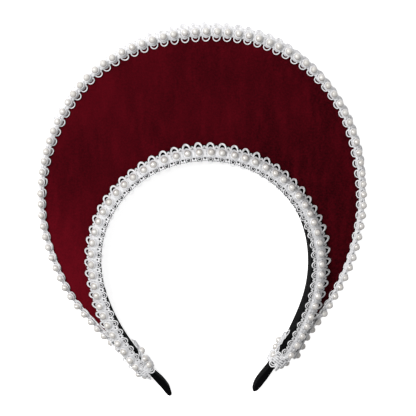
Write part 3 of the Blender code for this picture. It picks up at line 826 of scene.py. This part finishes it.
# Pearls turned about their thread, with a dimple where it goes in
def addPearls(mesh, braid):
    centres, stands, alongs = braid["pearlSpots"]
    side = np.cross(stands, alongs)
    slant = np.radians(np.concatenate([[-84], np.linspace(-80, 80, 13), [84]]))
    run = np.sin(slant) * braid["pearl"]
    out = np.cos(slant) * braid["pearl"]
    run[[0, -1]] *= 0.9
    turn = np.arange(20) * 2 * pi / 20
    ring = (np.cos(turn)[:, None] * side[:, None] + np.sin(turn)[:, None] * stands[:, None])
    size = 1 + braid["random"].normal(0, pattern["pearlUnevenness"], len(centres))
    rings = (centres[:, None, None]
             + size[:, None, None, None] * (run[:, None, None] * alongs[:, None, None]
                                            - out[:, None, None] * ring[:, None, ::-1]))
    mesh.addRings(rings, shadeAndTone=braid["random"].uniform(0, 1, len(centres)))


def setOut(braid, bare=()):
    braid["pitch"] = braid["length"] / braid["cells"]
    braid["random"] = np.random.default_rng(braid["seed"])
    cells = np.arange(braid["cells"])
    braid["middles"] = cells + 0.5
    slide = braid["random"].uniform(-braid["slide"], braid["slide"], braid["cells"])
    held = np.array([k for k in cells if k not in bare])
    distance = cellPlace(braid, held + 0.5 + slide[held])
    centres, stands = layOn(braid, distance, 0 * distance, braid["lift"] + 0 * distance, soft=1e-6)
    _, _, along = braid["path"].at(distance)
    alongs = np.concatenate([along, 0 * along[:, :1]], 1)
    braid["pearlSpots"] = centres, stands, alongs


def addLace(mesh, braid):
    addCore(mesh, braid)
    addScallops(mesh, braid)
    addBundles(mesh, braid)
    addPearlRings(mesh, braid)
    addString(mesh, braid)
    addPicots(mesh, braid)


def makeBraid(name, braid, node):
    setOut(braid)
    lace, plaits, beads = Mesh(), Mesh(), Mesh()
    addLace(lace, braid)
    laceWork = lace.toObject(name + "Lace", laceFinish, "lace")
    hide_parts(node)
    addPlaits(plaits, braid)
    plaits.toObject(name + "Plaits", laceFinish, "lace")
    addPearls(beads, braid)
    beads.toObject(name + "Pearls", pearlFinish, "pearl")
    print(name, "braid made,", braid["cells"], "cells")


makeBraid("front", frontBraid, "front_pearl_trim")
makeBraid("rim", rimBraid, "rim_pearl_trim")


# The braid's ends, folded over the legs near their tips. A cuff goes over the leg's front, and a
# tongue with three pearls climbs the leg's inner side. Lengths run down the leg from the wrap's top.

wrap = {
    "along": [0.0, 3.5, 7.0, 9.5, 13.0], "reach": [7.2, 6.6, 4.6, 3.6, 3.3], "wall": 1.4, "low": 1.5,
    "legGap": 1.6 * gap, "top": 0.6, "bottom": 8.2, "lobes": 6, "topTip": -1.3, "bottomTip": 10.8,
    "slantFrom": 0.2, "ringRows": (0.25, 0.5, 0.75),
    "pearls": [(3.3, 7.0, 9.4), (6.2, 4.6, 10.6)], "pearlRadius": 1.95,
    "lanes": (0.12, 0.37, 0.62, 0.87),
    "tongueCells": 4, "tonguePitch": 4.4,
    "ripple": 0.2, "ripplePitch": 2.6, "rippleTurn": 14, "sink": 0.1, "inside": -0.9,
    "laneTurn": 40, "laneSway": 0.35, "laneLift": 0.2, "laneRadius": 0.26, "laneShadeAndTone": 0.8,
    "lobeWidth": 0.42, "lobeLoops": ((1.0, 0.38), (0.45, 0.32)), "ringShift": 0.25, "ringRadius": 0.3,
    "pearlRise": 0.35, "lobeHeight": 0.25, "ringWidth": 0.7, "ringLength": 0.85, "ringHeight": 0.45,
    "loopPlace": (0.8, 2.2), "loopReach": (0.55, 0.22), "loopHeight": (0.6, 0.3), "loopRadius": 0.3,
}


class Cuff:
    # The surface of a cuff, as a net of points round the leg and along it
    def __init__(self, top, sign):
        self.alongs = np.linspace(-3, 13, 33)
        distance = top + sign * self.alongs
        depth, thick = (bandPath.value(name, distance) for name in ("depth", "thick"))
        near = thick / 2 + wrap["legGap"]
        low = np.maximum(wrap["low"], bandMiddle - depth / 2)
        high = bandMiddle + depth / 2 + gap
        reach = np.interp(self.alongs, wrap["along"], wrap["reach"])
        wall = wrap["wall"]
        corners = [(reach - 0.8, low), (reach, low + 3), (reach - 0.4, high - 3),
                   (reach * 0.7, high + 0.6), (0 * reach, high + wall),
                   (-near - wall, high - 0.8), (-near - wall, (high + low) / 2), (-near - wall, low)]
        corners = np.stack([np.stack(corner, -1) for corner in corners], 1)
        knots = runOff(corners.mean(0))
        spread = np.linspace(0, knots[-1], 61)
        section = np.array([[naturalSpline(knots, column, spread) for column in ring.T]
                            for ring in corners]).transpose(0, 2, 1)
        self.net = sweep(bandPath, distance, section)
        around, along = np.gradient(self.net, axis=1), np.gradient(self.net, axis=0)
        self.stands = unit(np.cross(around, along))
        if (self.stands[:, 40] * (self.net[:, 40] - self.net.mean(1))).sum() < 0:
            self.stands = -self.stands

    # Points at shares round the leg and at lengths along it, with the directions away from the leg
    def lay(self, around, along, height):
        around, along, height = np.broadcast_arrays(around, along, height)
        across = np.clip(around, 0, 1) * (self.net.shape[1] - 1)
        down = np.interp(along, self.alongs, np.arange(len(self.alongs)))
        col = np.minimum(across.astype(int), self.net.shape[1] - 2)
        row = np.minimum(down.astype(int), self.net.shape[0] - 2)
        s, t = (across - col)[..., None], (down - row)[..., None]
        point, stand = ((net[row, col] * (1 - s) + net[row, col + 1] * s) * (1 - t)
                        + (net[row + 1, col] * (1 - s) + net[row + 1, col + 1] * s) * t
                        for net in (self.net, self.stands))
        stand = unit(stand)
        return point + height[..., None] * stand, stand


# Where the cuff's lower edge runs, further up on the leg's inner side
def cuffEnd(around, slant):
    return wrap["bottom"] - slant * np.clip(around - wrap["slantFrom"], 0, 0.55)


# Lengths at a share of the way from the cuff's upper edge to its lower one
def cuffAlong(around, slant, share):
    return wrap["top"] + share * (cuffEnd(around, slant) - wrap["top"])


def addCuff(mesh, cuff, slant):
    around = np.linspace(0.01, 0.99, 41)
    along = cuffAlong(around, slant, np.linspace(0, 1, 24)[:, None])
    run, twist = along * 2 * pi / wrap["ripplePitch"], wrap["rippleTurn"] * around
    ripple = wrap["ripple"] * np.sin(run + twist) * np.sin(run - twist)
    top, _ = cuff.lay(around, along, ripple - wrap["sink"])
    low, _ = cuff.lay(around[::-1], along[:, ::-1], wrap["inside"])
    # painted shade: the cuff's dense sheet takes the dark ground colour
    mesh.addRings(np.concatenate([top, low], 1)[None], shadeAndTone=0.0)
    ways = np.linspace(0.02, 0.98, 61)
    for k, lane in enumerate(wrap["lanes"]):
        middle = cuffAlong(ways, slant, lane)
        for shift in (0, pi):
            wave = ways * wrap["laneTurn"] + shift + k
            points, stands = cuff.lay(ways, middle + wrap["laneSway"] * np.sin(wave),
                                      wrap["laneSway"] + wrap["laneLift"] * np.cos(wave))
            # painted shade: the lanes are set a fifth of the way towards the dark ground colour
            mesh.addTubes(points[None], stands[None], wrap["laneRadius"], 5, wrap["laneShadeAndTone"])


# Lobes of thread along the cuff's upper and lower edges, and rows of small rings between them
def addCuffLobes(mesh, cuff, slant):
    turn = np.linspace(-0.5, pi + 0.5, 15)
    middles = ((np.arange(wrap["lobes"]) + 0.5) / wrap["lobes"])[:, None]
    width = wrap["lobeWidth"] / wrap["lobes"]
    edges = ((cuffEnd(middles, slant), wrap["bottomTip"] - wrap["bottom"]),
             (wrap["top"], wrap["topTip"] - wrap["top"]))
    for foot, reach in edges:
        for share, radius in wrap["lobeLoops"]:
            around = middles + width * (0.45 + 0.55 * share) * np.cos(turn)
            points, stands = cuff.lay(around, foot + reach * share * np.sin(turn), wrap["lobeHeight"])
            mesh.addTubes(points, stands, radius)
    turn = np.linspace(0, 2 * pi, 15)
    for k, row in enumerate(wrap["ringRows"]):
        shifted = middles + (1 if k % 2 else -1) * wrap["ringShift"] / wrap["lobes"]
        around = shifted + wrap["ringWidth"] * width * np.cos(turn)
        along = cuffAlong(shifted, slant, row) + wrap["ringLength"] * np.sin(turn)
        points, stands = cuff.lay(around, along, wrap["ringHeight"])
        mesh.addTubes(points, stands, wrap["ringRadius"], 5)


# The cuff's own pearls at its outer lower side: where each sits, and which ways it faces
def cuffPearls(top, sign):
    spots = np.array(wrap["pearls"])
    place, outward, along = bandPath.at(top + sign * spots[:, 0])
    flat = place + openingCentre + spots[:, 1:2] * outward
    stands = unit(np.concatenate([outward, np.full((len(spots), 1), wrap["pearlRise"])], 1))
    centres = np.concatenate([flat, spots[:, 2:]], 1)
    return centres, stands, np.concatenate([along, 0 * along[:, :1]], 1)


# A loose loop of thread at the top of the tongue
def addLooseLoop(mesh, braid, sign):
    turn = np.linspace(0, 2 * pi, 25)
    end = braid["start"] if sign > 0 else braid["start"] + braid["length"]
    (place, swing), (middle, width), (height, tilt) = (wrap["loop" + part]
                                                       for part in ("Place", "Reach", "Height"))
    distance = end - sign * (place - swing * np.cos(turn))
    points, stands = layOn(braid, distance, middle + width * np.sin(turn), height + tilt * np.cos(turn))
    mesh.addTubes(points[None], stands[None], wrap["loopRadius"])


def makeEndWrap(name, node, top, sign, seed, slant, tongueTop):
    cuff = Cuff(top, sign)
    reach = wrap["tongueCells"] * wrap["tonguePitch"]
    tongue = {
        "path": bandPath, "section": tongueSection(top, sign), "soft": 0.9, "lift": 1.1, "pearl": 2.1,
        "seed": seed,
        "start": top + tongueTop if sign > 0 else top - tongueTop - reach,
        "length": reach, "cells": wrap["tongueCells"], "slide": 0.02, "ease": [(0, 0)],
        "core": {-1: (0.36, 0.05), 1: (0.36, 0.05)},
        "loops": {-1: [(0.6, 0.34, 0.33, 0.3)], 1: [(0.72, 0.36, 0.33, 0.3)]},
        "picot": {1: (0.45, 0.06)},
    }
    setOut(tongue, (0,) if sign > 0 else (wrap["tongueCells"] - 1,))
    lace, beads = Mesh(), Mesh()
    addLace(lace, tongue)
    addPlaits(lace, tongue)
    addLooseLoop(lace, tongue, sign)
    addCuff(lace, cuff, slant)
    addCuffLobes(lace, cuff, slant)
    addPearls(beads, tongue)
    tongue["pearlSpots"], tongue["pearl"] = cuffPearls(top, sign), wrap["pearlRadius"]
    addPearlRings(lace, tongue)
    addPearls(beads, tongue)
    laceWork = lace.toObject(name + "Lace", laceFinish, "lace")
    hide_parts(node)
    beads.toObject(name + "Pearls", pearlFinish, "pearl")
    print(name, "wrap made")


makeEndWrap("leftEnd", "left_end_wrap", leftWrapTop, -1, 11, 10.5, -14.2)
makeEndWrap("rightEnd", "right_end_wrap", rightWrapTop, 1, 13, 5.0, -13.0)


# Camera, floor and light

view = {
    "camera": (-118.81, 293.93, 1165.98), "target": (2.895, 3.628, 8.0), "lens": 173.08,
    "sensor": 36, "floorSize": 3.0, "worldLight": 0.3,
    "keyLamp": ((-0.75, 0.65, 1.1), 0.5, 22.0), "fillLamp": ((0.3, 0.3, 1.3), 1.0, 2.4),
}


def makeCamera():
    lens = bpy.data.cameras.new("camera")
    lens.lens = view["lens"]
    lens.sensor_width = view["sensor"]
    camera = addObject("camera", lens)
    place = Vector(view["camera"]) * mm
    away = place - Vector(view["target"]) * mm
    back = away.normalized()
    right = Vector((0, 1, 0)).cross(back).normalized()
    up = back.cross(right)
    turn = Matrix((right, up, back)).transposed()
    camera.matrix_world = Matrix.Translation(place) @ turn.to_4x4()
    bpy.context.scene.camera = camera


def makeFloor():
    size = view["floorSize"]
    glow, bounce = 0.72, 0.15      # a light table: bright to look at, with little light on the object
    mesh = bpy.data.meshes.new("floor")
    corners = [(-size, -size, 0), (size, -size, 0), (size, size, 0), (-size, size, 0)]
    mesh.from_pydata(corners, [], [(0, 1, 2, 3)])
    floor = addObject("floor", mesh)
    paper = Finish("palePaper", {
        "Roughness": 0.9, "Specular IOR Level": 0.1, "Emission Strength": 1.0})
    seen = paper.add("LightPath")["Is Camera Ray"]
    paper.links.new(paper.mix(seen, (bounce,) * 3, (glow,) * 3), paper.shader.inputs["Emission Color"])
    grain = paper.noise(paper.objectVector(), 40.0)
    paper.colour(paper.mix(grain, (0.93, 0.93, 0.93), (0.96, 0.96, 0.96)))
    mesh.materials.append(paper.material)


def makeLight():
    for name in ("keyLamp", "fillLamp"):
        place, size, power = view[name]
        lamp = bpy.data.lights.new(name, "AREA")
        lamp.size = size
        lamp.energy = power
        holder = addObject(name, lamp)
        holder.location = place
        holder.rotation_euler = (-Vector(place)).to_track_quat("-Z", "Y").to_euler()
    world = bpy.data.worlds.new("studio")
    world.use_nodes = True
    sky = world.node_tree.nodes["Background"]
    sky.inputs["Color"].default_value = (1, 1, 1, 1)
    sky.inputs["Strength"].default_value = view["worldLight"]
    bpy.context.scene.world = world
    bpy.context.scene.view_settings.view_transform = "Standard"


makeCamera()
makeFloor()
makeLight()
print("camera, floor and light set")
